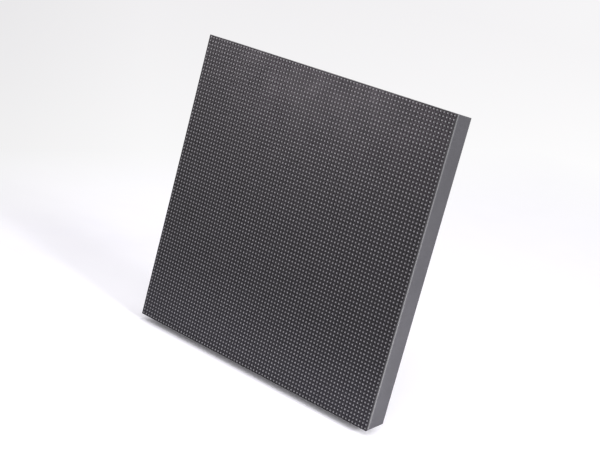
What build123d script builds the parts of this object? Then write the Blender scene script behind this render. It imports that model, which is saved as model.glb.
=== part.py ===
from build123d import *
import math
import os

# An LED matrix panel in millimetres. Its face looks along -Y and +Z is up. The rear plane that
# seats on a cabinet is y = 0, and the origin is the centre of the four cabinet screws there.

# Face and light sources
led_pitch = 2.0
led_columns = 80
led_rows = 80
led_size = 1.5
led_height = 0.5
columns_per_driver = 16

# Front mask, a lattice whose edge seats on the board
mask_thickness = 1.0
mask_slot_width = 1.6
mask_border = 0.2
mask_back_clearance = 0.1

# Circuit board
board_thickness = 1.6
board_inset = 0.2

# Rear shell, a moulded frame with drafted walls and nine windows
shell_depth = 13.9
shell_draft_inset = 1.0
wall_thickness = 1.8
rear_plate_thickness = 2.0
rim_width = 8.0
rib_thickness = 2.0
rib_flange_width = 8.0
window_corner_radius = 3.0
rear_edge_chamfer = 0.4

# Cabinet screws: brass inserts in the corner bosses
insert_edge_distance = 8.0
insert_boss_diameter = 9.0
insert_diameter = 4.6
insert_length = 6.0
insert_bore_diameter = 2.5
insert_hole_spare = 1.0
gusset_thickness = 1.6

# Shell screws, each into a nut soldered to the board
screw_boss_width = 8.0
screw_shank_diameter = 2.0
screw_tip_gap = 0.9
screw_head_diameter = 3.8
screw_head_height = 1.4
screw_hole_diameter = 2.4
counterbore_diameter = 4.6
counterbore_depth = 7.0
nut_width = 4.0
nut_height = 3.0
nut_notch_clearance = 0.2
thread_clearance = 0.04

# Signal headers: two rows of square pins in a keyed shroud
header_pins_per_row = 8
header_pin_pitch = 2.54
header_pin_width = 0.64
header_pin_height = 8.6
header_pin_point = 0.25
header_length_spare = 7.6
header_width = 8.9
header_height = 9.1
header_wall = 1.2
header_base_thickness = 2.5
header_key_width = 4.5
header_key_depth = 5.5

# Power header: four pins beside a locking wall
power_pin_count = 4
power_pin_pitch = 3.96
power_pin_width = 1.14
power_pin_height = 10.5
power_pin_point = 0.4
power_base_thickness = 3.2
power_width = 8.5
power_end_margin = 2.0
power_wall_thickness = 1.2
power_wall_height = 8.4
power_lock_gap = 2.4
power_lock_depth = 3.6

# Column drivers, small square leadless chips with a capacitor and a resistor beside each
driver_size = 4.0
driver_height = 0.9
driver_first_row = 22.0
driver_row_pitch = 14.0
driver_rows_per_half = 3
passive_length = 1.6
passive_width = 0.8
passive_height = 0.6
passive_gap = 1.4

# Row drivers, larger leadless chips outside the signal headers
row_chip_size = 5.0
row_chip_spacing = 10.0
row_chip_header_gap = 5.0

# Signal buffers, chips with bent leads
buffer_length = 10.3
buffer_width = 7.5
buffer_height = 2.4
buffer_standoff = 0.15
buffer_leads_per_side = 8
buffer_spacing = 13.0
buffer_edge_chamfer = 0.5
lead_width = 0.45
lead_pitch = 1.27
lead_thickness = 0.25
lead_foot = 0.8
lead_reach = 1.1

# Electrolytic capacitors
can_diameter = 6.3
can_height = 5.4
can_base_size = 6.6
can_base_height = 1.0
can_base_corner = 1.2
can_row_distance = 14.0

# Depths worked out from the stack: mask, board, shell
board_back = -shell_depth
board_front = board_back - board_thickness
face_front = board_front - mask_thickness

# Face size and the places that the LED grid sets
face_width = led_columns * led_pitch
face_height = led_rows * led_pitch
driver_column_pitch = columns_per_driver * led_pitch
driver_columns = led_columns // columns_per_driver
rib_x = driver_column_pitch / 2
header_x = 1.5 * driver_column_pitch
row_chip_x = header_x + header_width / 2 + row_chip_header_gap + row_chip_size / 2
cross_rib_z = driver_first_row + (driver_rows_per_half - 1.5) * driver_row_pitch
insert_x = face_width / 2 - insert_edge_distance
insert_z = face_height / 2 - insert_edge_distance
nut_front = board_back
nut_rear = board_back + nut_height
nut_span = nut_width / math.cos(math.pi / 6)
head_seat = -counterbore_depth


def at_depth(y):
    """Drawing plane parallel to the face at depth y, seen from the front."""
    return Plane.XZ.offset(-y)


def slab(sketch, y_front, y_rear):
    """Solid of one outline between two depths."""
    return extrude(at_depth(y_rear) * sketch, amount=y_rear - y_front)


def block(width, height, x, z, y_front, y_rear):
    """Rectangular block centred on (x, z) between two depths."""
    return slab(Pos(x, z) * Rectangle(width, height), y_front, y_rear)


def post(diameter, x, z, y_front, y_rear):
    """Round post centred on (x, z) between two depths."""
    return slab(Pos(x, z) * Circle(diameter / 2), y_front, y_rear)


def save(node, shape):
    """Write one node to its own file."""
    shape.label = node
    export_step(shape, f"parts/{node}.step")


def save_group(node, solids):
    """Write several like solids to one file."""
    save(node, Compound(children=solids))


def make_mask():
    """Lattice over the LEDs: a slot for each column, relieved behind so that only its edge seats."""
    outline = Rectangle(face_width, face_height)
    slot_length = face_height - 2 * mask_border
    slots = [
        place * Rectangle(mask_slot_width, slot_length)
        for place in GridLocations(led_pitch, 0, led_columns, 1)
    ]
    lattice_back = board_front - led_height - mask_back_clearance
    relief_width = (led_columns - 1) * led_pitch + mask_slot_width
    relief = Rectangle(relief_width, slot_length)
    lattice = slab(outline - slots, face_front, lattice_back)
    rim = slab(outline - relief, lattice_back, board_front)
    return lattice + rim


def make_led_rows():
    """One bar for each row of LED packages, soldered on the board's front."""
    row_length = (led_columns - 1) * led_pitch + led_size
    return [
        block(row_length, led_size, place.position.X, place.position.Y, board_front - led_height, board_front)
        for place in GridLocations(0, led_pitch, 1, led_rows)
    ]


def make_board():
    width = face_width - 2 * board_inset
    height = face_height - 2 * board_inset
    return block(width, height, 0, 0, board_front, board_back)


def shell_block(inset, y_front, y_rear):
    """The shell's drafted outer form, drawn in by inset, between two depths."""
    sections = []
    for y in (y_front, y_rear):
        edge = board_inset + shell_draft_inset * (y - board_back) / shell_depth + inset
        sections.append(at_depth(y) * Rectangle(face_width - 2 * edge, face_height - 2 * edge))
    return loft(sections)


def window_spans(face_size, rib_place):
    """Centre and size of the three windows along one side."""
    rim_edge = face_size / 2 - board_inset - shell_draft_inset - rim_width
    rib_inner = rib_place - rib_flange_width / 2
    rib_outer = rib_place + rib_flange_width / 2
    side_size = rim_edge - rib_outer
    side_place = (rim_edge + rib_outer) / 2
    return [(-side_place, side_size), (0, 2 * rib_inner), (side_place, side_size)]


def make_windows():
    """Nine rounded openings through the rear plate."""
    windows = []
    for x, width in window_spans(face_width, rib_x):
        for z, height in window_spans(face_height, cross_rib_z):
            radius = min(window_corner_radius, width / 3, height / 3)
            outline = Pos(x, z) * RectangleRounded(width, height, radius)
            windows.append(slab(outline, -rear_plate_thickness, 0))
    return windows


def screw_places():
    """Shell screws, one at each rib crossing."""
    return [(x, z) for z in (-cross_rib_z, cross_rib_z) for x in (-rib_x, rib_x)]


def insert_places():
    return [(x, z) for z in (-insert_z, insert_z) for x in (-insert_x, insert_x)]


def make_gussets():
    """Webs that tie each corner boss to its two walls."""
    reach = insert_edge_distance
    webs = []
    for x, z in insert_places():
        side = 1 if x > 0 else -1
        level = 1 if z > 0 else -1
        webs.append(block(reach, gusset_thickness, x + side * reach / 2, z, board_back, 0))
        webs.append(block(gusset_thickness, reach, x, z + level * reach / 2, board_back, 0))
    return webs


def make_shell():
    """Drafted tray with a windowed rear plate, crossed ribs and bosses for inserts and screws."""
    outer = shell_block(0, board_back, 0)
    outer = chamfer(outer.faces().sort_by(Axis.Y)[-1].edges(), rear_edge_chamfer)
    tray = outer - shell_block(wall_thickness, board_back, -rear_plate_thickness)
    tray = tray - make_windows()

    inside = []
    for x in (-rib_x, rib_x):
        inside.append(block(rib_thickness, face_height, x, 0, board_back, 0))
    for z in (-cross_rib_z, cross_rib_z):
        inside.append(block(face_width, rib_thickness, 0, z, board_back, 0))
    for x, z in insert_places():
        inside.append(post(insert_boss_diameter, x, z, board_back, 0))
    for x, z in screw_places():
        inside.append(block(screw_boss_width, screw_boss_width, x, z, board_back, 0))
    inside = inside + make_gussets()
    frame = inside[0].fuse(*inside[1:]) & outer
    shell = tray + frame

    holes = []
    for x, z in insert_places():
        holes.append(post(insert_diameter, x, z, -insert_length - insert_hole_spare, 0))
    notch = max(screw_boss_width, nut_span) + 2 * nut_notch_clearance
    for x, z in screw_places():
        holes.append(block(notch, notch, x, z, nut_front, nut_rear))
        holes.append(post(screw_hole_diameter, x, z, nut_rear, head_seat))
        holes.append(post(counterbore_diameter, x, z, head_seat, 0))
    return shell - holes


def make_insert(x, z):
    """Brass insert with a threaded bore, flush with the rear plane."""
    body = post(insert_diameter, x, z, -insert_length, 0)
    return body - post(insert_bore_diameter, x, z, -insert_length, 0)


def make_screw(x, z):
    """Cylinder-head screw seated in its counterbore."""
    head = post(screw_head_diameter, x, z, head_seat, head_seat + screw_head_height)
    shank = post(screw_shank_diameter, x, z, board_back + screw_tip_gap, head_seat)
    return head + shank


def make_nut(x, z):
    """Hexagonal brass nut soldered to the board's rear."""
    bore = screw_shank_diameter + 2 * thread_clearance
    outline = Pos(x, z) * RegularPolygon(nut_width / 2, 6, major_radius=False)
    return slab(outline, nut_front, nut_rear) - post(bore, x, z, nut_front, nut_rear)


def pointed_pin(width, height, point, x, z):
    """Square pin standing on the board's rear, with a bevelled tip."""
    pin = block(width, width, x, z, board_back, board_back + height)
    tip_edges = pin.faces().sort_by(Axis.Y)[-1].edges()
    return chamfer(tip_edges, point, point / 2)


def header_pin_places(x):
    pitch = header_pin_pitch
    grid = GridLocations(pitch, pitch, 2, header_pins_per_row)
    return [(x + place.position.X, place.position.Y) for place in grid]


def make_header_shroud(x):
    """Keyed box round two rows of pins. Its long side is upright and its key looks inwards."""
    length = header_pins_per_row * header_pin_pitch + header_length_spare
    top = board_back + header_height
    floor = board_back + header_base_thickness
    shroud = block(header_width, length, x, 0, board_back, top)
    inner_width = header_width - 2 * header_wall
    inner_length = length - 2 * header_wall
    shroud = shroud - block(inner_width, inner_length, x, 0, floor, top)
    side = -1 if x > 0 else 1
    key_x = x + side * (header_width - header_wall) / 2
    shroud = shroud - block(header_wall, header_key_width, key_x, 0, top - header_key_depth, top)
    sockets = [
        block(header_pin_width, header_pin_width, pin_x, pin_z, board_back, floor)
        for pin_x, pin_z in header_pin_places(x)
    ]
    return shroud - sockets


def make_header_pins(x):
    return [
        pointed_pin(header_pin_width, header_pin_height, header_pin_point, pin_x, pin_z)
        for pin_x, pin_z in header_pin_places(x)
    ]


def power_pin_places():
    grid = GridLocations(0, power_pin_pitch, 1, power_pin_count)
    return [(0, place.position.Y) for place in grid]


def make_power_housing():
    """Base block with a locking wall along one side, slit so that its middle can flex."""
    length = (power_pin_count - 1) * power_pin_pitch + power_pin_width + 2 * power_end_margin
    floor = board_back + power_base_thickness
    wall_top = board_back + power_wall_height
    wall_x = -(power_width - power_wall_thickness) / 2
    base = block(power_width, length, 0, 0, board_back, floor)
    wall = block(power_wall_thickness, length, wall_x, 0, board_back, wall_top)
    housing = base + wall
    for z in (-length / 4, length / 4):
        slit_front = wall_top - power_lock_depth
        housing = housing - block(power_wall_thickness, power_lock_gap, wall_x, z, slit_front, wall_top)
    sockets = [
        block(power_pin_width, power_pin_width, x, z, board_back, floor)
        for x, z in power_pin_places()
    ]
    return housing - sockets


def make_power_pins():
    return [
        pointed_pin(power_pin_width, power_pin_height, power_pin_point, x, z)
        for x, z in power_pin_places()
    ]


def driver_places():
    """Columns across the board, three rows in each half."""
    xs = [driver_column_pitch * (i - (driver_columns - 1) / 2) for i in range(driver_columns)]
    zs = [driver_first_row + driver_row_pitch * i for i in range(driver_rows_per_half)]
    return [(x, z) for z in [-z for z in reversed(zs)] + zs for x in xs]


def make_leadless_chip(size, x, z):
    """Square moulded chip that lies flat on the board, with no leads outside its body."""
    return block(size, size, x, z, board_back, board_back + driver_height)


def make_passives(side):
    """One small chip part on the given side of each column driver."""
    offset = side * (driver_size / 2 + passive_gap)
    return [
        block(passive_width, passive_length, x + offset, z, board_back, board_back + passive_height)
        for x, z in driver_places()
    ]


def make_buffer(x, z):
    """Chip whose long side runs along X, with a row of bent leads above and below."""
    front = board_back + buffer_standoff
    rear = board_back + buffer_height
    body = block(buffer_length, buffer_width, x, z, front, rear)
    marked_edge = body.faces().sort_by(Axis.Y)[-1].edges().sort_by(Axis.Z)[-1]
    body = chamfer(marked_edge, buffer_edge_chamfer)

    # Lead profile in the YZ plane, from the body's side down to the foot on the board
    side = buffer_width / 2
    toe = side + lead_reach
    heel = toe - lead_foot
    shoulder = (front + rear) / 2
    foot_top = board_back + lead_thickness
    profile = Polyline(
        (shoulder + lead_thickness / 2, side),
        (foot_top, heel + lead_thickness),
        (foot_top, toe),
        (board_back, toe),
        (board_back, heel),
        (shoulder - lead_thickness / 2, side),
        close=True,
    )
    lead = extrude(Plane.YZ * make_face(profile), amount=lead_width / 2, both=True)
    leads = []
    for i in range(buffer_leads_per_side):
        along = x + lead_pitch * (i - (buffer_leads_per_side - 1) / 2)
        leads.append(Pos(along, 0, z) * lead)
        leads.append(Pos(along, 0, z) * mirror(lead, Plane.XY))
    return body.fuse(*leads)


def make_can(x, z):
    """Electrolytic capacitor: a can on a moulded base with two cut corners."""
    base_rear = board_back + can_base_height
    can_rear = board_back + can_height
    base = block(can_base_size, can_base_size, x, z, board_back, base_rear)
    upright = base.edges().filter_by(Axis.Y)
    base = chamfer(upright.sort_by(Axis.Z)[-2:], can_base_corner)
    return base + post(can_diameter, x, z, base_rear, can_rear)


os.makedirs("parts", exist_ok=True)

save("front_mask", make_mask())
save_group("led_rows", make_led_rows())
save("circuit_board", make_board())
save("rear_shell", make_shell())

for number, (x, z) in enumerate(insert_places(), start=1):
    save(f"threaded_insert_{number}", make_insert(x, z))
save_group("shell_screws", [make_screw(x, z) for x, z in screw_places()])
save_group("board_nuts", [make_nut(x, z) for x, z in screw_places()])

for name, x in (("input", header_x), ("output", -header_x)):
    save(f"{name}_header_shroud", make_header_shroud(x))
    save_group(f"{name}_header_pins", make_header_pins(x))
save("power_header_housing", make_power_housing())
save_group("power_header_pins", make_power_pins())

for number, (x, z) in enumerate(driver_places(), start=1):
    save(f"column_driver_{number:02d}", make_leadless_chip(driver_size, x, z))
save_group("ceramic_capacitors", make_passives(1))
save_group("chip_resistors", make_passives(-1))

row_chip_places = [(row_chip_x, row_chip_spacing * i) for i in (-1, 0, 1)]
row_chip_places += [(-row_chip_x, row_chip_spacing * i) for i in (-0.5, 0.5)]
for number, (x, z) in enumerate(row_chip_places, start=1):
    save(f"row_driver_{number}", make_leadless_chip(row_chip_size, x, z))
for number, side in enumerate((-1, 1), start=1):
    buffer_z = side * buffer_spacing / 2
    save(f"signal_buffer_{number}", make_buffer(driver_column_pitch, buffer_z))

for number, z in enumerate((-can_row_distance, can_row_distance), start=1):
    save(f"electrolytic_capacitor_{number}", make_can(0, z))
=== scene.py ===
import math

import bmesh
import bpy
from mathutils import Matrix, Vector


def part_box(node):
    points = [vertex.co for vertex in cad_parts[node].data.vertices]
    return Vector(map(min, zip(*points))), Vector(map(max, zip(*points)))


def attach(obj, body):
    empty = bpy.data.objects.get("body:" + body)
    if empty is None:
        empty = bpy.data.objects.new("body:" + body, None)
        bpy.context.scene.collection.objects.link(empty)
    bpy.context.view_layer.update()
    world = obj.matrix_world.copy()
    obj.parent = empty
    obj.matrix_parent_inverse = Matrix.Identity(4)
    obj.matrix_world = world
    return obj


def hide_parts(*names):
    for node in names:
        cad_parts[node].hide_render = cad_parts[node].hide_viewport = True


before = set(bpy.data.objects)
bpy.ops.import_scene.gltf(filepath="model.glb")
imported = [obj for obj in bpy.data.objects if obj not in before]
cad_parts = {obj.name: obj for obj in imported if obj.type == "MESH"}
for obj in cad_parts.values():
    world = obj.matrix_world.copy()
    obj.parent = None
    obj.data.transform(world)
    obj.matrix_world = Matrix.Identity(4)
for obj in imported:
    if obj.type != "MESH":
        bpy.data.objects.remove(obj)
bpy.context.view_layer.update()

MM = 0.001

# Sizes of the panel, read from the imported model
LED_COUNT = 80
face_low, face_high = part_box("front_mask")
board_low, board_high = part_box("circuit_board")
shell_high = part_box("rear_shell")[1]
FACE_FRONT = face_low.y
MASK_BACK = face_high.y
BOARD_FRONT = board_low.y
BOARD_BACK = board_high.y
HALF_FACE = face_high.x
PITCH = (face_high.x - face_low.x) / LED_COUNT
CAN_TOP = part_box("electrolytic_capacitor_1")[1].y

# Front mask
WINDOW_HALF = 0.80 * MM
WINDOW_CHAMFER = 0.08 * MM
LATTICE_DEPTH = 0.40 * MM

# LED packages
PACKAGE_HALF = 0.75 * MM
PACKAGE_HEIGHT = 0.78 * MM
LENS_HEIGHT = 0.15 * MM
LENS_FOOT_RADIUS = 0.43 * MM
LENS_TOP_RADIUS = 0.33 * MM
LENS_SIDES = 8


# Meshes

def add_piece(name, verts, faces, materials, replaced=(), indices=None, smooth=None):
    """One mesh that rides on the panel. indices gives each face its material."""
    mesh = bpy.data.meshes.new(name)
    mesh.from_pydata([tuple(v) for v in verts], [], faces)
    for material in materials:
        mesh.materials.append(material)
    if indices is not None:
        mesh.polygons.foreach_set("material_index", indices)
    if smooth is not None:
        mesh.polygons.foreach_set("use_smooth", smooth)
    bm = bmesh.new()
    bm.from_mesh(mesh)
    bmesh.ops.recalc_face_normals(bm, faces=bm.faces)
    bm.to_mesh(mesh)
    bm.free()
    mesh.update()
    piece = bpy.data.objects.new(name, mesh)
    bpy.context.scene.collection.objects.link(piece)
    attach(piece, "root")
    if replaced:
        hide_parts(*replaced)
    return piece


class Shape:
    """Points, faces and each face's material, gathered for one piece."""

    def __init__(self):
        self.verts = []
        self.faces = []
        self.indices = []
        self.smooth = []

    def add(self, verts, faces, index=0, smooth=False):
        start = len(self.verts)
        self.verts.extend(verts)
        for face in faces:
            self.faces.append(tuple(start + i for i in face))
            self.indices.append(index)
            self.smooth.append(smooth)

    def box(self, low, high, index=0):
        """Plain block between two corners."""
        verts = [(x, y, z) for x in (low[0], high[0]) for y in (low[1], high[1]) for z in (low[2], high[2])]
        faces = [(0, 1, 3, 2), (4, 6, 7, 5), (0, 4, 5, 1), (2, 3, 7, 6), (0, 2, 6, 4), (1, 5, 7, 3)]
        self.add(verts, faces, index)

    def bevelled_box(self, low, high, bevel, index=0):
        """Block with cut edges and corners, as moulded and sintered parts have."""
        bm = bmesh.new()
        bmesh.ops.create_cube(bm, size=1)
        for v in bm.verts:
            for axis in range(3):
                v.co[axis] = low[axis] if v.co[axis] < 0 else high[axis]
        bmesh.ops.bevel(bm, geom=bm.edges[:], offset=bevel, segments=1, affect="EDGES")
        bm.verts.index_update()
        self.add([tuple(v.co) for v in bm.verts], [[v.index for v in f.verts] for f in bm.faces], index)
        bm.free()

    def rings(self, rings, index=0, smooth=True):
        """Skin over closed rings of equal count, capped at both ends."""
        count = len(rings[0])
        verts = [point for ring in rings for point in ring]
        faces = []
        for k in range(len(rings) - 1):
            for i in range(count):
                j = (i + 1) % count
                faces.append((k * count + i, k * count + j, (k + 1) * count + j, (k + 1) * count + i))
        start = len(self.verts)
        self.add(verts, faces, index, smooth)
        ends = [tuple(range(count)), tuple(range((len(rings) - 1) * count, len(rings) * count))]
        self.faces.extend(tuple(start + i for i in end) for end in ends)
        self.indices.extend([index, index])
        self.smooth.extend([False, False])

    def make(self, name, materials, replaced=()):
        return add_piece(name, self.verts, self.faces, materials, replaced, self.indices, self.smooth)


def circle(x, y, z, radius, count, turn=0.0):
    """Ring of points round an axis along Y."""
    angles = [2 * math.pi * i / count + turn for i in range(count)]
    return [(x + radius * math.cos(a), y, z + radius * math.sin(a)) for a in angles]


# Materials

class Nodes:
    """Builds a node tree from short calls."""

    def __init__(self, tree):
        self.tree = tree

    def node(self, kind, inputs=(), **settings):
        """A node with its settings, and its inputs given as values or as other nodes' outputs."""
        node = self.tree.nodes.new(kind)
        for key, value in settings.items():
            setattr(node, key, value)
        for key, value in dict(inputs).items():
            if isinstance(value, bpy.types.NodeSocket):
                self.tree.links.new(value, node.inputs[key])
            else:
                node.inputs[key].default_value = value
        return node

    def math(self, operation, a, b=0.0):
        return self.node("ShaderNodeMath", {0: a, 1: b}, operation=operation).outputs[0]

    def distance(self, x, y):
        squares = self.math("ADD", self.math("MULTIPLY", x, x), self.math("MULTIPLY", y, y))
        return self.math("SQRT", squares)

    def split(self, vector):
        parts = self.node("ShaderNodeSeparateXYZ", {0: vector})
        return parts.outputs[0], parts.outputs[1], parts.outputs[2]

    def span(self, value, low, high, out_low=0.0, out_high=1.0):
        """The value's range from low to high, spread over another range and held at its ends."""
        inputs = {0: value, 1: low, 2: high, 3: out_low, 4: out_high}
        return self.node("ShaderNodeMapRange", inputs).outputs[0]

    def mix(self, factor, a, b):
        """Colour a where factor is 0 and colour b where it is 1."""
        node = self.tree.nodes.new("ShaderNodeMix")
        node.data_type = "RGBA"
        for socket, value in ((node.inputs[0], factor), (node.inputs[6], a), (node.inputs[7], b)):
            if isinstance(value, bpy.types.NodeSocket):
                self.tree.links.new(value, socket)
            elif isinstance(value, tuple):
                socket.default_value = (*value, 1)
            else:
                socket.default_value = value
        return node.outputs[2]


class Finish(Nodes):
    """A material. Constants sit on the shader, and what varies comes from the object's own coordinates."""

    def __init__(self, name, color, roughness, metallic=0.0, specular=0.5):
        self.material = bpy.data.materials.new(name)
        self.material.use_nodes = True
        super().__init__(self.material.node_tree)
        self.shader = self.tree.nodes["Principled BSDF"]
        self.color = color
        self.set("Base Color", (*color, 1))
        self.set("Roughness", roughness)
        self.set("Metallic", metallic)
        self.set("Specular IOR Level", specular)
        self.roughness = roughness
        self.place = self.tree.nodes.new("ShaderNodeTexCoord").outputs["Object"]
        self.heights = []

    def set(self, socket, value):
        self.shader.inputs[socket].default_value = value

    def axes(self):
        return self.split(self.place)

    def noise(self, size, detail=2.0):
        """Noise from 0 to 1 whose features are about size across."""
        inputs = {"Vector": self.place, "Scale": 1 / size, "Detail": detail}
        return self.node("ShaderNodeTexNoise", inputs).outputs["Fac"]

    def paint(self, socket, value):
        self.tree.links.new(value, self.shader.inputs[socket])

    def cloud(self, share, size):
        """Tone that drifts by a share of the colour."""
        dark = tuple(c * (1 - share) for c in self.color)
        light = tuple(min(1, c * (1 + share)) for c in self.color)
        self.paint("Base Color", self.mix(self.span(self.noise(size), 0.3, 0.7), dark, light))

    def polish(self, spread, size):
        """Roughness that drifts by spread either way."""
        value = self.span(self.noise(size), 0.3, 0.7, self.roughness - spread, self.roughness + spread)
        self.paint("Roughness", value)

    def relief(self, height, depth):
        """Bump from a height between 0 and 1, depth metres deep. Later reliefs add to earlier ones."""
        inputs = {"Height": height, "Distance": depth, "Strength": 1.0}
        if self.heights:
            inputs["Normal"] = self.heights[-1]
        self.heights.append(self.node("ShaderNodeBump", inputs).outputs["Normal"])
        self.paint("Normal", self.heights[-1])

    def done(self):
        return self.material


def moulded(name, color, roughness, grain=0.30 * MM, depth=0.012 * MM, drift=0.08):
    """Matt surface with a fine grain, such as plastic from a spark-eroded mould."""
    finish = Finish(name, color, roughness)
    finish.cloud(drift, 9 * MM)
    finish.polish(0.05, 14 * MM)
    finish.relief(finish.noise(grain, 3.0), depth)
    return finish


def worn_metal(name, color, roughness):
    """Metal with fine tool marks and uneven polish."""
    streak = 0.25 * MM
    finish = Finish(name, color, roughness, metallic=1.0)
    finish.cloud(0.10, 1.2 * MM)
    finish.polish(0.08, 0.8 * MM)
    finish.relief(finish.noise(streak, 2.0), 0.006 * MM)
    return finish


def mask_material():
    finish = moulded("mask_black", (0.0032, 0.0029, 0.0034), 0.30, grain=0.12 * MM, depth=0.003 * MM)
    finish.set("Specular IOR Level", 0.30)
    finish.set("Specular Tint", (0.97, 0.90, 1.0, 1))
    return finish.done()


def lens_material():
    """Milky cast window, a little different in tone from one package to the next."""
    finish = Finish("led_lens", (0.172, 0.166, 0.177), 0.38)
    snapped = finish.node(
        "ShaderNodeVectorMath",
        {0: finish.place, 1: (PITCH, PITCH * LED_COUNT, PITCH)},
        operation="SNAP",
    ).outputs[0]
    each = finish.node("ShaderNodeTexWhiteNoise", {"Vector": snapped}).outputs["Value"]
    tone = finish.mix(each, (0.146, 0.141, 0.151), (0.197, 0.190, 0.203))
    finish.paint("Base Color", tone)
    finish.relief(finish.noise(0.2 * MM), 0.004 * MM)
    return finish.done()


def package_material():
    finish = moulded("led_body", (0.009, 0.009, 0.010), 0.45, grain=0.15 * MM, depth=0.004 * MM)
    finish.set("Specular IOR Level", 0.30)
    return finish.done()


def board_material():
    """Black ink on the LED side, green solder mask with vias behind, and a pale cut edge of glass."""
    finish = Finish("circuit_board", (0.012, 0.013, 0.014), 0.36)
    x, y, z = finish.axes()
    edge_band = 0.05 * MM
    via_radius = 0.14 * MM
    via_rim = 0.19 * MM
    via_patch = 5 * MM
    copper_patch = 7 * MM
    ply = 0.11 * MM
    board_half = board_high.x
    beside = finish.math("MAXIMUM", finish.math("ABSOLUTE", x), finish.math("ABSOLUTE", z))
    edge = finish.span(beside, board_half - edge_band, board_half - edge_band / 2)
    across = finish.math("SUBTRACT", finish.math("PINGPONG", x, PITCH / 2), PITCH / 4)
    along = finish.math("SUBTRACT", finish.math("PINGPONG", z, PITCH / 2), PITCH / 4)
    dots = finish.span(finish.distance(across, along), via_radius, via_rim, 1.0, 0.0)
    vias = finish.math("MULTIPLY", dots, finish.span(finish.noise(via_patch, 0.0), 0.44, 0.48))
    copper = finish.span(finish.noise(copper_patch, 0.0), 0.50, 0.53)
    front = finish.mix(copper, (0.010, 0.011, 0.012), (0.017, 0.018, 0.019))
    rear = finish.mix(copper, (0.008, 0.047, 0.027), (0.013, 0.066, 0.039))
    rear = finish.mix(vias, rear, (0.060, 0.125, 0.075))
    middle = (BOARD_FRONT + BOARD_BACK) / 2
    mask = finish.mix(finish.math("GREATER_THAN", y, middle), front, rear)
    layers = finish.span(finish.math("PINGPONG", y, ply), 0.0, ply)
    glass = finish.mix(layers, (0.143, 0.143, 0.148), (0.174, 0.174, 0.180))
    fleck = finish.span(finish.noise(0.5 * MM), 0.35, 0.65, 0.0, 0.35)
    glass = finish.mix(fleck, glass, (0.10, 0.10, 0.10))
    finish.paint("Base Color", finish.mix(edge, mask, glass))
    finish.paint("Roughness", finish.span(edge, 0.0, 1.0, 0.36, 0.80))
    finish.relief(copper, 0.02 * MM)
    finish.relief(vias, 0.03 * MM)
    finish.relief(finish.noise(0.25 * MM), 0.004 * MM)
    return finish.done()


def shell_material():
    """Dark moulded plastic with a fine matt grain and slow flow tones."""
    finish = Finish("shell_plastic", (0.0453, 0.0436, 0.0512), 0.48)
    finish.cloud(0.05, 40 * MM)
    finish.polish(0.05, 22 * MM)
    finish.relief(finish.noise(0.45 * MM, 4.0), 0.015 * MM)
    finish.relief(finish.noise(12 * MM, 1.0), 0.03 * MM)
    return finish.done()


def chip_material():
    """Moulded black epoxy."""
    return moulded("chip_epoxy", (0.022, 0.022, 0.023), 0.58, grain=0.10 * MM, depth=0.008 * MM).done()


def header_material():
    return moulded("header_plastic", (0.018, 0.018, 0.019), 0.42).done()


def nylon_material():
    """Natural nylon, faintly warm and translucent."""
    finish = moulded("power_nylon", (0.62, 0.59, 0.52), 0.45)
    finish.set("Subsurface Weight", 0.15)
    finish.set("Subsurface Radius", (0.9 * MM, 0.8 * MM, 0.6 * MM))
    finish.set("Subsurface Scale", 1.0)
    return finish.done()


def ceramic_material():
    color = (0.36, 0.25, 0.15)
    return moulded("ceramic_body", color, 0.50, grain=0.08 * MM, depth=0.005 * MM, drift=0.15).done()


def resistor_material():
    return moulded("resistor_body", (0.020, 0.021, 0.024), 0.35, grain=0.08 * MM, depth=0.004 * MM).done()


def ink_material():
    """Screen-printed white lines on the board."""
    color = (0.52, 0.52, 0.50)
    return moulded("board_ink", color, 0.65, grain=0.08 * MM, depth=0.006 * MM, drift=0.12).done()


def trace_material():
    """Copper under green solder mask, a little lighter than the bare board."""
    return moulded("masked_copper", (0.020, 0.100, 0.058), 0.34, grain=0.5 * MM, depth=0.003 * MM).done()


def can_base_material():
    return moulded("capacitor_base", (0.020, 0.020, 0.021), 0.45).done()


def can_material(x, z):
    """Drawn aluminium with a dark printed segment on the top that marks one pole."""
    finish = worn_metal(f"can_aluminium_{round(x / MM)}_{round(z / MM)}", (0.72, 0.72, 0.73), 0.32)
    depth, along = finish.axes()[1:]
    print_edge = 1.55 * MM
    print_blur = 0.10 * MM
    lid_edge = CAN_TOP - 0.18 * MM
    lid_blur = 0.06 * MM
    segment = finish.span(finish.math("SUBTRACT", along, z), print_edge, print_edge + print_blur)
    top = finish.span(depth, lid_edge, lid_edge + lid_blur)
    printed = finish.math("MULTIPLY", segment, top)
    metal = finish.mix(finish.span(finish.noise(0.9 * MM), 0.3, 0.7), (0.66, 0.66, 0.67), (0.78, 0.78, 0.79))
    finish.paint("Base Color", finish.mix(printed, metal, (0.02, 0.02, 0.025)))
    finish.paint("Metallic", finish.span(printed, 0.0, 1.0, 1.0, 0.0))
    return finish.done()


# Front: the lattice and the LED packages

def window_centres():
    return [(i - (LED_COUNT - 1) / 2) * PITCH for i in range(LED_COUNT)]


def window_lines(half):
    """Both sides of each window along one axis."""
    return [centre + side * half for centre in window_centres() for side in (-1, 1)]


def layer(verts, lines, y):
    """Adds a square grid of points at one depth, and returns a function that finds one of them."""
    start = len(verts)
    verts.extend((x, y, z) for z in lines for x in lines)
    return lambda i, j: start + j * len(lines) + i


def strip(a, b, i, j, u, v):
    """The face between two layers along the line from (i, j) to (u, v)."""
    return (a(i, j), a(u, v), b(u, v), b(i, j))


def plate_faces(at, cells, solid):
    """A grid's cells in the columns and rows that are solid: the even ones for 0 and the odd ones for 1."""
    return [
        (at(i, j), at(i + 1, j), at(i + 1, j + 1), at(i, j + 1))
        for j in range(cells)
        for i in range(cells)
        if solid in (i % 2, j % 2)
    ]


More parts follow.
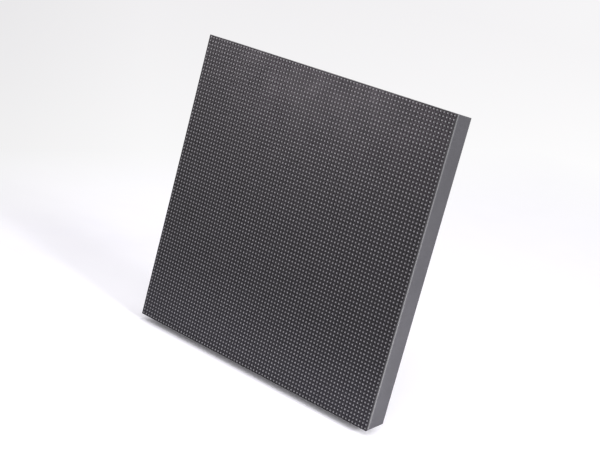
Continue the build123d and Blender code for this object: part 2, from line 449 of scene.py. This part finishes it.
def window_faces(front, lip, back, lines):
    """The bevel and the wall round each window."""
    faces = []

    def mouth(i, j):
        """A front point, counted like the wall's points, which start one line further in."""
        return front(i + 1, j + 1)

    for j in range(0, lines, 2):
        for i in range(0, lines, 2):
            ring = [(i, j), (i + 1, j), (i + 1, j + 1), (i, j + 1)]
            for (p, q), (u, v) in zip(ring, ring[1:] + ring[:1]):
                faces.append(strip(mouth, lip, p, q, u, v))
                faces.append(strip(lip, back, p, q, u, v))
    return faces


def rim_faces(front, back, rim_in, rim_out, inner, outer):
    """The deeper rim: its inner wall, its rear with the four corners, and its outer wall."""
    faces = []
    for k in range(inner):
        for fixed, out in ((0, 0), (inner, outer)):
            faces.append(strip(back, rim_in, k, fixed, k + 1, fixed))
            faces.append(strip(back, rim_in, fixed, k, fixed, k + 1))
            faces.append((rim_in(k, fixed), rim_in(k + 1, fixed), rim_out(k + 2, out), rim_out(k + 1, out)))
            faces.append((rim_in(fixed, k), rim_in(fixed, k + 1), rim_out(out, k + 2), rim_out(out, k + 1)))
    ends = ((0, 0, 1), (inner, outer, outer - 1))
    for i, out_i, near_i in ends:
        for j, out_j, near_j in ends:
            corner = (rim_out(near_i, out_j), rim_out(out_i, out_j), rim_out(out_i, near_j))
            faces.append((rim_in(i, j), *corner))
    for k in range(outer):
        for out in (0, outer):
            faces.append(strip(front, rim_out, k, out, k + 1, out))
            faces.append(strip(front, rim_out, out, k, out, k + 1))
    return faces


def make_lattice(material):
    """The mask: 80 by 80 bevelled windows in a thin plate with a deeper rim, as one closed skin."""
    front_lines = [-HALF_FACE] + window_lines(WINDOW_HALF + WINDOW_CHAMFER) + [HALF_FACE]
    wall_lines = window_lines(WINDOW_HALF)
    verts = []
    front = layer(verts, front_lines, FACE_FRONT)
    lip = layer(verts, wall_lines, FACE_FRONT + WINDOW_CHAMFER)
    back = layer(verts, wall_lines, FACE_FRONT + LATTICE_DEPTH)
    rim_in = layer(verts, wall_lines, MASK_BACK)
    rim_out = layer(verts, front_lines, MASK_BACK)
    outer = len(front_lines) - 1
    inner = len(wall_lines) - 1
    faces = plate_faces(front, outer, 0) + plate_faces(back, inner, 1)
    faces += window_faces(front, lip, back, len(wall_lines))
    faces += rim_faces(front, back, rim_in, rim_out, inner, outer)
    used = sorted({i for face in faces for i in face})
    place = {old: new for new, old in enumerate(used)}
    kept = [verts[i] for i in used]
    faces = [tuple(place[i] for i in face) for face in faces]
    return add_piece("mask_lattice", kept, faces, [material], ["front_mask"])


def package_template():
    """One LED package at the origin: a square body with a low cast window, as one closed skin."""
    front = BOARD_FRONT - PACKAGE_HEIGHT
    half = PACKAGE_HALF
    corners = [(-half, -half), (half, -half), (half, half), (-half, half)]
    verts = [(x, BOARD_FRONT, z) for x, z in corners] + [(x, front, z) for x, z in corners]
    turn = math.pi / LENS_SIDES - math.pi * 3 / 4
    verts += circle(0, front, 0, LENS_FOOT_RADIUS, LENS_SIDES, turn)
    verts += circle(0, front - LENS_HEIGHT, 0, LENS_TOP_RADIUS, LENS_SIDES, turn)
    body = [(0, 1, 2, 3)] + [(k, (k + 1) % 4, 4 + (k + 1) % 4, 4 + k) for k in range(4)]
    foot = 8
    top = foot + LENS_SIDES
    for k in range(4):
        after = (k + 1) % 4
        a = foot + 2 * k
        b = foot + 2 * k + 1
        body.append((4 + k, 4 + after, b, a))
        body.append((4 + after, foot + (2 * after) % LENS_SIDES, b))
    lens = [
        (foot + i, foot + (i + 1) % LENS_SIDES, top + (i + 1) % LENS_SIDES, top + i)
        for i in range(LENS_SIDES)
    ]
    lens.append(tuple(top + i for i in range(LENS_SIDES)))
    return verts, body, lens


def make_packages(name, rows, materials, replaced=()):
    """The LED packages of some rows of the grid."""
    template, body, lens = package_template()
    centres = window_centres()
    shape = Shape()
    for z in rows:
        for x in centres:
            verts = [(x + p, y, z + q) for p, y, q in template]
            start = len(shape.verts)
            shape.add(verts, body, 0)
            for face in lens:
                shape.faces.append(tuple(start + i for i in face))
                shape.indices.append(1)
                shape.smooth.append(len(face) == 4)
    return shape.make(name, materials, replaced)


# Rear: printed board details

FOIL = 0.02 * MM


def node_centre(name):
    low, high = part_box(name)
    return (low + high) / 2


def node_names(start):
    return sorted(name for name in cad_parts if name.startswith(start))


DRIVERS = node_names("column_driver_")
ROW_DRIVERS = node_names("row_driver_")
BUFFERS = node_names("signal_buffer_")
CANS = node_names("electrolytic_capacitor_")
SHROUDS = ["input_header_shroud", "output_header_shroud"]


def make_ink(material):
    """Printed outlines round the parts on the board's rear."""
    shape = Shape()
    line = 0.15 * MM
    connector_gap = 0.45 * MM
    chip_gap = 0.55 * MM
    tick = 0.7 * MM
    rear = BOARD_BACK + FOIL

    def outline(low, high):
        x0, x1 = low.x - connector_gap, high.x + connector_gap
        z0, z1 = low.z - connector_gap, high.z + connector_gap
        shape.box((x0, BOARD_BACK, z0), (x1, rear, z0 + line))
        shape.box((x0, BOARD_BACK, z1 - line), (x1, rear, z1))
        shape.box((x0, BOARD_BACK, z0 + line), (x0 + line, rear, z1 - line))
        shape.box((x1 - line, BOARD_BACK, z0 + line), (x1, rear, z1 - line))

    for name in SHROUDS + CANS + ["power_header_housing"]:
        outline(*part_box(name))
    for name in DRIVERS + ROW_DRIVERS:
        low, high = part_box(name)
        for x, step_x in ((low.x - chip_gap, tick), (high.x + chip_gap, -tick)):
            for z, step_z in ((low.z - chip_gap, tick), (high.z + chip_gap, -tick)):
                xs = sorted((x, x + step_x))
                zs = sorted((z, z + math.copysign(line, step_z)))
                shape.box((xs[0], BOARD_BACK, zs[0]), (xs[1], rear, zs[1]))
                xs = sorted((x, x + math.copysign(line, step_x)))
                zs = sorted((z + math.copysign(line, step_z), z + step_z))
                shape.box((xs[0], BOARD_BACK, zs[0]), (xs[1], rear, zs[1]))
    return shape.make("board_outlines", [material])


def make_traces(material):
    """Tracks that run along the driver rows and out of each driver, under the solder mask."""
    shape = Shape()
    width = 0.22 * MM
    margin = 4 * MM
    rear = BOARD_BACK + FOIL / 2
    far = shell_high.x - margin
    rows = sorted({round(node_centre(name).z, 6) for name in DRIVERS})
    columns = sorted({round(node_centre(name).x, 6) for name in DRIVERS})
    first_line = 3.6 * MM
    line_step = 0.5 * MM
    lines = 4
    for z in rows:
        for k in range(lines):
            level = z + first_line + line_step * k
            shape.box((-far, BOARD_BACK, level), (far, rear, level + width))
    stubs = 6
    stub_step = 0.5 * MM
    stub_start = 2.2 * MM
    shortest = 0.8 * MM
    longer_by = 0.35 * MM
    lengths = 3
    for z in rows:
        for x in columns:
            for k in range(stubs):
                across = x + (k - (stubs - 1) / 2) * stub_step - width / 2
                top = z + first_line + line_step * (k % lines)
                shape.box((across, BOARD_BACK, z + stub_start), (across + width, rear, top))
                bottom = z - stub_start - shortest - longer_by * (k % lengths)
                shape.box((across, BOARD_BACK, bottom), (across + width, rear, z - stub_start))
    return shape.make("board_tracks", [material])


def make_solder(material):
    """Solder joints along the four sides of each leadless chip."""
    shape = Shape()
    height = 0.28 * MM
    reach = 0.30 * MM
    half_width = 0.13 * MM
    pads = 6

    def joint(x, z, dx, dz):
        """Wedge against a chip's side, falling away in the direction (dx, dz)."""
        sx, sz = -dz * half_width, dx * half_width
        verts = []
        for s in (-1, 1):
            verts.append((x + s * sx, BOARD_BACK, z + s * sz))
            verts.append((x + s * sx, BOARD_BACK + height, z + s * sz))
            verts.append((x + s * sx + dx * reach, BOARD_BACK, z + s * sz + dz * reach))
        faces = [(0, 1, 2), (3, 5, 4), (0, 3, 4, 1), (1, 4, 5, 2), (0, 2, 5, 3)]
        shape.add(verts, faces)

    for names, pitch in ((DRIVERS, 0.5 * MM), (ROW_DRIVERS, 0.65 * MM)):
        for name in names:
            low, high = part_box(name)
            centre = (low + high) / 2
            for k in range(pads):
                along = (k - (pads - 1) / 2) * pitch
                joint(low.x, centre.z + along, -1, 0)
                joint(high.x, centre.z + along, 1, 0)
                joint(centre.x + along, low.z, 0, -1)
                joint(centre.x + along, high.z, 0, 1)
    return shape.make("chip_solder_joints", [material])


def make_leads(material):
    """Bent leads along the two long sides of each signal buffer."""
    shape = Shape()
    pitch = 1.27 * MM
    half_width = 0.20 * MM
    thick = 0.22 * MM
    shoulder = 0.30 * MM
    foot_start = 0.60 * MM
    reach = 1.30 * MM
    outer_bend = 0.12 * MM
    for name in BUFFERS:
        low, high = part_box(name)
        centre = (low + high) / 2
        count = int((high.x - low.x) / pitch)
        middle = centre.y
        upper = [
            (0.0, middle + thick / 2),
            (shoulder + outer_bend, middle + thick / 2),
            (foot_start + outer_bend, BOARD_BACK + thick),
            (reach, BOARD_BACK + thick),
        ]
        under = [
            (0.0, middle - thick / 2),
            (shoulder, middle - thick / 2),
            (foot_start, BOARD_BACK),
            (reach, BOARD_BACK),
        ]
        for side, edge in ((-1, low.z), (1, high.z)):
            for k in range(count):
                x = centre.x + (k - (count - 1) / 2) * pitch
                rings = [
                    [
                        (x - half_width, top, edge + side * out),
                        (x + half_width, top, edge + side * out),
                        (x + half_width, bottom, edge + side * inner),
                        (x - half_width, bottom, edge + side * inner),
                    ]
                    for (out, top), (inner, bottom) in zip(upper, under)
                ]
                shape.rings(rings, smooth=False)
    return shape.make("buffer_leads", [material])


def make_pin_marks(material):
    """Round dimple mark at pin one of each chip."""
    shape = Shape()
    inset = 0.9 * MM
    sides = 12
    foot_radius = 0.26 * MM
    top_radius = 0.24 * MM
    for name in DRIVERS + ROW_DRIVERS + BUFFERS:
        low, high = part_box(name)
        x = low.x + inset
        z = high.z - inset
        foot = circle(x, high.y, z, foot_radius, sides)
        top = circle(x, high.y + FOIL / 2, z, top_radius, sides)
        shape.rings([foot, top], smooth=False)
    return shape.make("pin_one_marks", [material])


def make_passives(name, body_material, end_material, replaced):
    """Small chip parts with wrapped metal ends and solder fillets."""
    shape = Shape()
    cad_low, cad_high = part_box(replaced)
    columns = [node_centre(driver).x for driver in DRIVERS]
    if replaced == "chip_resistors":
        side = -1
        offset = min(columns) - cad_low.x
    else:
        side = 1
        offset = cad_high.x - max(columns)
    half_width = 0.4 * MM
    half_length = 0.8 * MM
    cap = 0.35 * MM
    height = cad_high.y - BOARD_BACK
    bevel = 0.05 * MM
    sunk = 0.03 * MM
    fillet_length = 0.28 * MM
    fillet_rise = 0.6
    fillet_width = 0.9
    for driver in DRIVERS:
        centre = node_centre(driver)
        x = centre.x + side * (offset - half_width)
        z = centre.z
        low = (x - half_width + sunk, BOARD_BACK + sunk, z - half_length + cap)
        high = (x + half_width - sunk, BOARD_BACK + height - sunk, z + half_length - cap)
        shape.box(low, high, 0)
        for end in (-1, 1):
            outer = z + end * half_length
            inner = z + end * (half_length - cap)
            z0, z1 = sorted((outer, inner))
            low = (x - half_width, BOARD_BACK, z0)
            high = (x + half_width, BOARD_BACK + height, z1)
            shape.bevelled_box(low, high, bevel, 1)
            foot = outer + end * fillet_length
            rise = BOARD_BACK + height * fillet_rise
            verts = []
            for s in (-1, 1):
                across = x + s * half_width * fillet_width
                verts += [(across, BOARD_BACK, outer), (across, rise, outer), (across, BOARD_BACK, foot)]
            shape.add(verts, [(0, 1, 2), (3, 5, 4), (0, 3, 4, 1), (1, 4, 5, 2), (0, 2, 5, 3)], 1)
    return shape.make(name, [body_material, end_material], [replaced])


# Rear: parts with round detail

def make_can(name, base_material):
    """Electrolytic capacitor: rolled groove, rounded top edge, moulded base with two cut corners."""
    low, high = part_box(name)
    x, z = (low.x + high.x) / 2, (low.z + high.z) / 2
    half = (high.x - low.x) / 2
    base_height = 1.0 * MM
    base_top = BOARD_BACK + base_height
    cut = 1.2 * MM
    cut_taper = 0.4
    bevel = 0.15 * MM
    shape = Shape()

    def base_ring(y, inset):
        h = half - inset
        c = cut - inset * cut_taper
        points = [(-h, -h), (h, -h), (h, h - c), (h - c, h), (-h + c, h), (-h, h - c)]
        return [(x + p, y, z + q) for p, q in points]

    base_rings = [base_ring(BOARD_BACK, 0), base_ring(base_top - bevel, 0), base_ring(base_top, bevel)]
    shape.rings(base_rings, smooth=False)
    radius = 3.15 * MM
    sides = 40
    curl = 0.12 * MM
    groove_place = 1.15 * MM
    groove_half = 0.40 * MM
    groove_depth = 0.22 * MM
    groove_form = ((-1, 0), (-0.5, 0.73), (0, 1), (0.5, 0.73), (1, 0))
    edge = 0.45 * MM
    edge_steps = 4
    profile = [(base_top, curl), (base_top + curl, 0)]
    for share, depth in groove_form:
        profile.append((base_top + groove_place + groove_half * share, groove_depth * depth))
    for k in range(edge_steps + 1):
        angle = math.pi / 2 * k / edge_steps
        profile.append((CAN_TOP - edge * (1 - math.sin(angle)), edge * (1 - math.cos(angle))))
    lip = 0.15 * MM
    dish = 0.05 * MM
    profile += [(CAN_TOP, edge + lip), (CAN_TOP - dish, edge + 2 * lip)]
    shape.rings([circle(x, y, z, radius - inset, sides) for y, inset in profile], index=1)
    return shape.make(name + "_detailed", [base_material, can_material(x, z)], [name])


def thread_radius(y, angle, inner, outer, pitch):
    """Radius of a single-start thread at a depth and an angle, between its inner and outer radius."""
    phase = (y / pitch + angle / (2 * math.pi)) % 1.0
    return inner + (outer - inner) * abs(2 * phase - 1)


def make_insert(name, material):
    """Brass insert: threaded bore with a countersunk mouth, and a waist between two knurled bands."""
    low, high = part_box(name)
    x, z = (low.x + high.x) / 2, (low.z + high.z) / 2
    outer = (high.x - low.x) / 2
    thread_inner = 1.25 * MM
    thread_outer = 1.50 * MM
    pitch = 0.5 * MM
    count = 36
    steps = 48
    mouth_depth = 0.35 * MM
    mouth_widening = 0.3 * MM
    length = high.y - low.y
    angles = [2 * math.pi * i / count for i in range(count)]
    rings = []
    for k in range(steps + 1):
        y = low.y + length * k / steps
        mouth = max(0.0, 1 - (high.y - y) / mouth_depth) * mouth_widening
        rings.append([
            (x + r * math.cos(a), y, z + r * math.sin(a))
            for a in angles
            for r in [thread_radius(y, a, thread_inner, thread_outer, pitch) + mouth]
        ])
    chamfer = 0.15 * MM
    band = 2.3 * MM
    waist_depth = 0.3 * MM
    knurl_depth = 0.10 * MM
    upper = [(high.y, chamfer), (high.y - chamfer, 0), (high.y - band, 0)]
    upper.append((high.y - band - chamfer, waist_depth))
    lower = [(low.y + high.y - y, inset) for y, inset in reversed(upper)]
    for y, inset in upper + lower:
        knurl = 0 if inset else knurl_depth
        rings.append([
            (x + r * math.cos(a), y, z + r * math.sin(a))
            for i, a in enumerate(angles)
            for r in [outer - inset - knurl * (i % 2)]
        ])
    verts = [point for ring in rings for point in ring]
    faces = []
    for k in range(len(rings)):
        after = (k + 1) % len(rings)
        for i in range(count):
            j = (i + 1) % count
            faces.append((k * count + i, k * count + j, after * count + j, after * count + i))
    return add_piece(name + "_threaded", verts, faces, [material], [name])


SCREW_SIDES = 24


def screw_rings(x, z, tip, seat, top, head_radius):
    """Rings of one screw, from its tip over the thread and the seat to the head's rounded edge."""
    pitch = 0.4 * MM
    steps = 60
    thread_inner = 0.83 * MM
    thread_outer = 1.0 * MM
    point_share = 0.55
    point_length = 0.5 * MM
    break_edge = 0.1 * MM
    corner = 0.35 * MM
    corner_steps = 3
    angles = [2 * math.pi * i / SCREW_SIDES for i in range(SCREW_SIDES)]
    rings = []
    for k in range(steps + 1):
        y = tip + (seat - tip) * k / steps
        fade = min(1.0, (y - tip) / point_length + point_share)
        rings.append([
            (x + r * math.cos(a), y, z + r * math.sin(a))
            for a in angles
            for r in [thread_radius(y, -a, thread_inner, thread_outer, pitch) * fade]
        ])
    rings.append(circle(x, seat, z, head_radius - break_edge, SCREW_SIDES))
    rings.append(circle(x, seat + break_edge, z, head_radius, SCREW_SIDES))
    for k in range(corner_steps + 1):
        angle = math.pi / 2 * k / corner_steps
        radius = head_radius - corner * (1 - math.cos(angle))
        rings.append(circle(x, top - corner * (1 - math.sin(angle)), z, radius, SCREW_SIDES))
    return rings


def add_screw(bm, x, z, tip, seat, top, head_radius):
    """One screw between its tip, the seat of its head and the head's top, with a cross recess."""
    made = [
        [bm.verts.new(point) for point in ring]
        for ring in screw_rings(x, z, tip, seat, top, head_radius)
    ]
    for lower, upper in zip(made, made[1:]):
        for i in range(SCREW_SIDES):
            j = (i + 1) % SCREW_SIDES
            bm.faces.new((lower[i], lower[j], upper[j], upper[i]))
    bm.faces.new(made[0])
    arm = 1.05 * MM
    half = 0.28 * MM
    deep = 0.85 * MM
    taper = 0.62
    cross = [
        (arm, -half), (arm, half), (half, half), (half, arm), (-half, arm), (-half, half),
        (-arm, half), (-arm, -half), (-half, -half), (-half, -arm), (half, -arm), (half, -half),
    ]
    mouth = [bm.verts.new((x + p, top, z + q)) for p, q in cross]
    floor = [bm.verts.new((x + p * taper, top - deep, z + q * taper)) for p, q in cross]
    head = made[-1]
    edges = [bm.edges.get((head[i], head[(i + 1) % SCREW_SIDES])) for i in range(SCREW_SIDES)]
    for i in range(len(cross)):
        j = (i + 1) % len(cross)
        edges.append(bm.edges.new((mouth[i], mouth[j])))
        bm.faces.new((mouth[i], mouth[j], floor[j], floor[i]))
    bm.faces.new(floor)
    bmesh.ops.triangle_fill(bm, use_beauty=True, use_dissolve=False, edges=edges)


def make_screws(material):
    """Shell screws: rounded heads with a cross recess, on threaded shanks."""
    low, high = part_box("shell_screws")
    head_radius = 1.9 * MM
    head_height = 1.4 * MM
    seat = high.y - head_height
    bm = bmesh.new()
    for x in (low.x + head_radius, high.x - head_radius):
        for z in (low.z + head_radius, high.z - head_radius):
            add_screw(bm, x, z, low.y, seat, high.y, head_radius)
    bmesh.ops.recalc_face_normals(bm, faces=bm.faces)
    bm.verts.index_update()
    verts = [tuple(v.co) for v in bm.verts]
    faces = [tuple(v.index for v in f.verts) for f in bm.faces]
    bm.free()
    return add_piece("shell_screws_crosshead", verts, faces, [material], ["shell_screws"])


# Stage, light and camera

CAMERA_PLACE = Vector((0.36952, -0.51480, 0.12298))
CAMERA_TARGET = Vector((0.00987, -0.0165, 0.00238))
CAMERA_ROLL = math.radians(14.966)
CAMERA_LENS = 74.19
CAMERA_AIM = (CAMERA_TARGET - CAMERA_PLACE).to_track_quat("-Z", "Y").to_matrix()
CAMERA_TURN = CAMERA_AIM @ Matrix.Rotation(CAMERA_ROLL, 3, "Z")

# The floor lies a little below the panel. Each range below is low, high and, where it has four values,
# what it gives at both.
FLOOR_GAP = 3.3 * MM
FLOOR_RADIUS = 80.0
FLOOR_SIDES = 96
FLOOR_COLOR = (0.885, 0.868, 0.925)

# Where it is seen, the floor is lifted a little by its own glow. It is weaker under the panel and in the
# shadow to the left, as painted shade, and starts a little inside the panel's right end, as painted light
# in the shadow by that corner.
FLOOR_LIFT = (0.05, 0.16)
LIFT_REACH = 2 * MM
PAINTED_LIGHT_INSET = 9 * MM
PAINTED_SHADE_LEFT = (-200 * MM, -100 * MM, 0.6, 1.0)
PAINTED_SHADE_BEHIND = (100 * MM, 220 * MM, 0.6, 1.0)

# A painted pool of light glows on the floor before the face and shows in the gloss of its lowest rows.
POOL_LIFT = 0.62
POOL_COLOR = (0.96, 0.93, 1.25, 1)
POOL_RISE = (0.5 * MM, 12 * MM)
POOL_FALL = (20 * MM, 130 * MM)
POOL_SIDE = (0.0, 60 * MM, 1.0, 1.5)

# The backdrop greys towards one direction behind the panel, and dims towards another. A share is the
# cosine of the turn away from it.
GREY_AXIS = Vector((-0.801, 0.598))
GREY_SHARES = (0.56, 0.945)
FAR_WHITE = (1.0, 1.0, 1.0)
FAR_GREY = (0.878, 0.868, 0.882)
SIDE_AXIS = Vector((-0.995, -0.0995))
DIM_SHARES = (0.645, 0.725, 1.0, 0.935)
CLEAR_SHARES = (0.35, 0.60, 1.03, 1.0)

# The floor turns into the backdrop over these shares, beyond these metres from the fan's centre, and
# everywhere far from the panel.
FLOOR_SHARES = (0.59, 0.725)
FAN_CLEAR = (0.25, 0.50)
FAR_FLOOR = (0.6, 1.8)


def shown_directly(nodes):
    """1 for rays that the camera, a reflection or glass sends, and 0 for the light on the object."""
    path = nodes.node("ShaderNodeLightPath")
    seen = nodes.math("MAXIMUM", path.outputs["Is Camera Ray"], path.outputs["Is Glossy Ray"])
    return nodes.math("MAXIMUM", seen, path.outputs["Is Transmission Ray"])


def share_towards(nodes, axis, x, y):
    """How far a level direction (x, y) points along the axis."""
    along = nodes.math("ADD", nodes.math("MULTIPLY", x, axis.x), nodes.math("MULTIPLY", y, axis.y))
    return nodes.math("DIVIDE", along, nodes.distance(x, y))


def backdrop_tone(nodes, share):
    return nodes.mix(nodes.span(share, *GREY_SHARES), FAR_WHITE, FAR_GREY)


def side_strength(nodes, x, y):
    """How strong the backdrop is in a level direction (x, y): dimmer left in the picture, brighter right."""
    side = share_towards(nodes, SIDE_AXIS, x, y)
    return nodes.math("MULTIPLY", nodes.span(side, *DIM_SHARES), nodes.span(side, *CLEAR_SHARES))


def fan_centre(axis, level):
    """Where a line through the camera along one of its axes meets the floor.

    In the picture, the floor's lines through this point run along that axis.
    """
    return CAMERA_PLACE - axis * ((CAMERA_PLACE.z - level) / axis.z)


def floor_glow(finish, x, y, direct):
    """Shader for the floor's painted light and shade where it is seen: the uneven lift and the pool before
    the face.
    """
    # Painted light: the glow starts a little inside the panel's right end and lightens the shadow by that
    # corner.
    inset = PAINTED_LIGHT_INSET / 2
    beside = finish.math("SUBTRACT", finish.math("ABSOLUTE", finish.math("ADD", x, inset)), HALF_FACE - inset)
    before = finish.math("SUBTRACT", FACE_FRONT, y)
    apart = finish.math("MAXIMUM", beside, finish.math("MAXIMUM", before, y))
    # Painted shade: the glow is weaker under the panel.
    clear = finish.span(apart, 0.0, LIFT_REACH, *FLOOR_LIFT)
    # Painted shade: the glow is weaker in the shadow to the left.
    left_painted_shade = finish.math("MAXIMUM", finish.span(x, *PAINTED_SHADE_LEFT), finish.span(y, *PAINTED_SHADE_BEHIND))
    lift_strength = finish.math("MULTIPLY", direct, finish.math("MULTIPLY", clear, left_painted_shade))
    # Painted pool of light on the floor before the face, stronger towards the right.
    near = finish.span(before, *POOL_RISE, 0.0, POOL_LIFT)
    pool = finish.math("MULTIPLY", near, finish.span(before, *POOL_FALL, 1.0, 0.0))
    pool = finish.math("MULTIPLY", pool, finish.span(x, *POOL_SIDE))
    pool_strength = finish.math("MULTIPLY", direct, pool)
    lift = finish.node("ShaderNodeEmission", {"Color": (1, 1, 1, 1), "Strength": lift_strength})
    glow = finish.node("ShaderNodeEmission", {"Color": POOL_COLOR, "Strength": pool_strength})
    return finish.node("ShaderNodeAddShader", {0: lift.outputs[0], 1: glow.outputs[0]}).outputs[0]


def floor_backdrop(finish, x, y, level):
    """Shader for the floor that has turned into the backdrop, and how far it has."""
    fan = fan_centre(CAMERA_TURN.col[0], level)
    fan_x = finish.math("SUBTRACT", x, fan.x)
    fan_y = finish.math("SUBTRACT", y, fan.y)
    share = share_towards(finish, GREY_AXIS, fan_x, fan_y)
    foot = fan_centre(CAMERA_TURN.col[1], level)
    foot_x = finish.math("SUBTRACT", x, foot.x)
    foot_y = finish.math("SUBTRACT", y, foot.y)
    strength = side_strength(finish, foot_x, foot_y)
    far = finish.node("ShaderNodeEmission", {"Color": backdrop_tone(finish, share), "Strength": strength})
    in_fan = finish.span(finish.distance(fan_x, fan_y), *FAN_CLEAR)
    greyed = finish.math("MULTIPLY", finish.span(share, *FLOOR_SHARES), in_fan)
    far_off = finish.span(finish.distance(x, y), *FAR_FLOOR)
    return far.outputs[0], finish.math("MAXIMUM", greyed, far_off)


def make_floor():
    """Pale paper that turns evenly into the background far off."""
    level = face_low.z - FLOOR_GAP
    finish = Finish("floor_paper", FLOOR_COLOR, 0.9, specular=0.0)
    finish.cloud(0.01, 40 * MM)
    x, y = finish.axes()[:2]
    direct = shown_directly(finish)
    # The floor's own glow, with its painted light and painted shade, is added to the lit paper.
    glow = floor_glow(finish, x, y, direct)
    near = finish.node("ShaderNodeAddShader", {0: finish.shader.outputs[0], 1: glow})
    far, share = floor_backdrop(finish, x, y, level)
    blend = finish.math("MULTIPLY", share, direct)
    both = finish.node("ShaderNodeMixShader", {0: blend, 1: near.outputs[0], 2: far})
    finish.tree.links.new(both.outputs[0], finish.tree.nodes["Material Output"].inputs["Surface"])
    mesh = bpy.data.meshes.new("floor")
    rim = [(px, py, level) for px, _, py in circle(0, 0, 0, FLOOR_RADIUS, FLOOR_SIDES)]
    mesh.from_pydata(rim, [], [tuple(range(FLOOR_SIDES))])
    mesh.materials.append(finish.done())
    floor = bpy.data.objects.new("floor", mesh)
    bpy.context.scene.collection.objects.link(floor)


WORLD_LIGHT = 0.80


def make_world():
    """Even white light, and the backdrop's tones where it is seen."""
    world = bpy.data.worlds.new("studio")
    world.use_nodes = True
    bpy.context.scene.world = world
    nodes = Nodes(world.node_tree)
    light = world.node_tree.nodes["Background"]
    light.inputs["Color"].default_value = (1, 1, 1, 1)
    light.inputs["Strength"].default_value = WORLD_LIGHT
    x, y = nodes.split(nodes.node("ShaderNodeTexCoord").outputs["Generated"])[:2]
    tone = backdrop_tone(nodes, share_towards(nodes, GREY_AXIS, x, y))
    seen = nodes.node("ShaderNodeBackground", {"Color": tone, "Strength": side_strength(nodes, x, y)})
    direct = shown_directly(nodes)
    both = nodes.node("ShaderNodeMixShader", {0: direct, 1: light.outputs[0], 2: seen.outputs[0]})
    world.node_tree.links.new(both.outputs[0], world.node_tree.nodes["World Output"].inputs["Surface"])


def make_lamp(name, place, size, watts, aim=(0, 0, 0), width=None, gloss_only=False, color=(1, 1, 1)):
    """Round soft lamp. With a width it is a flat strip that gives no gloss."""
    lamp = bpy.data.lights.new(name, "AREA")
    lamp.shape = "RECTANGLE" if width else "DISK"
    lamp.size = width or size
    lamp.size_y = size
    lamp.energy = watts
    lamp.color = color
    holder = bpy.data.objects.new(name, lamp)
    holder.location = place
    holder.rotation_mode = "QUATERNION"
    holder.rotation_quaternion = (Vector(aim) - Vector(place)).to_track_quat("-Z", "Y")
    holder.visible_camera = False
    holder.visible_glossy = width is None
    holder.visible_diffuse = not gloss_only
    bpy.context.scene.collection.objects.link(holder)


def make_camera():
    data = bpy.data.cameras.new("camera")
    data.lens = CAMERA_LENS
    data.sensor_width = 36
    data.clip_start = 0.01
    data.clip_end = 200
    camera = bpy.data.objects.new("camera", data)
    camera.matrix_world = Matrix.Translation(CAMERA_PLACE) @ CAMERA_TURN.to_4x4()
    bpy.context.scene.collection.objects.link(camera)
    bpy.context.scene.camera = camera


# Build

def dress(names, material):
    """Gives the meshes of some CAD nodes a better finish."""
    for name in names:
        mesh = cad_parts[name].data
        mesh.materials.clear()
        mesh.materials.append(material)


brass = worn_metal("brass", (0.80, 0.60, 0.30), 0.34).done()
steel = worn_metal("zinc_steel", (0.52, 0.52, 0.54), 0.36).done()
tin = worn_metal("tinned_copper", (0.68, 0.68, 0.69), 0.38).done()
gold = worn_metal("gold_plate", (0.86, 0.68, 0.36), 0.30).done()
chip = chip_material()
ink = ink_material()

make_lattice(mask_material())
led_materials = [package_material(), lens_material()]
levels = window_centres()
half = len(levels) // 2
make_packages("led_packages_lower", levels[:half], led_materials)
make_packages("led_packages_upper", levels[half:], led_materials, ["led_rows"])

dress(["circuit_board"], board_material())
dress(["rear_shell"], shell_material())
dress(DRIVERS + ROW_DRIVERS + BUFFERS, chip)
dress(["board_nuts"], brass)
dress(SHROUDS, header_material())
dress(["power_header_housing"], nylon_material())
dress(["input_header_pins", "output_header_pins"], gold)
dress(["power_header_pins"], tin)

make_ink(ink)
make_traces(trace_material())
make_solder(tin)
make_leads(tin)
make_pin_marks(ink)
make_passives("ceramic_capacitor_chips", ceramic_material(), tin, "ceramic_capacitors")
make_passives("resistor_chips", resistor_material(), tin, "chip_resistors")
can_base = can_base_material()
for name in CANS:
    make_can(name, can_base)
for name in node_names("threaded_insert_"):
    make_insert(name, brass)
make_screws(steel)

make_floor()
make_world()
make_lamp("key", place=(0.55, -1.1, 1.1), size=0.9, watts=6.5)
make_lamp("side", place=(1.2, -0.3, 0.55), size=0.25, watts=7.0)
make_lamp("sheen", place=(-0.67, -0.98, 0.12), size=0.30, watts=5.2, gloss_only=True, color=(1.0, 0.92, 0.98))
make_lamp("bounce", place=(0.17, 0.0, -0.055), size=0.05, watts=0.05, aim=(0.08, 0.0, -0.06))
strip_place = (0.01, -0.05, -0.060)
strip_aim = (0.01, -0.03, -0.083)
make_lamp("front_bounce", place=strip_place, size=0.02, watts=0.010, aim=strip_aim, width=0.15)
make_camera()

bpy.context.scene.view_settings.view_transform = "Standard"
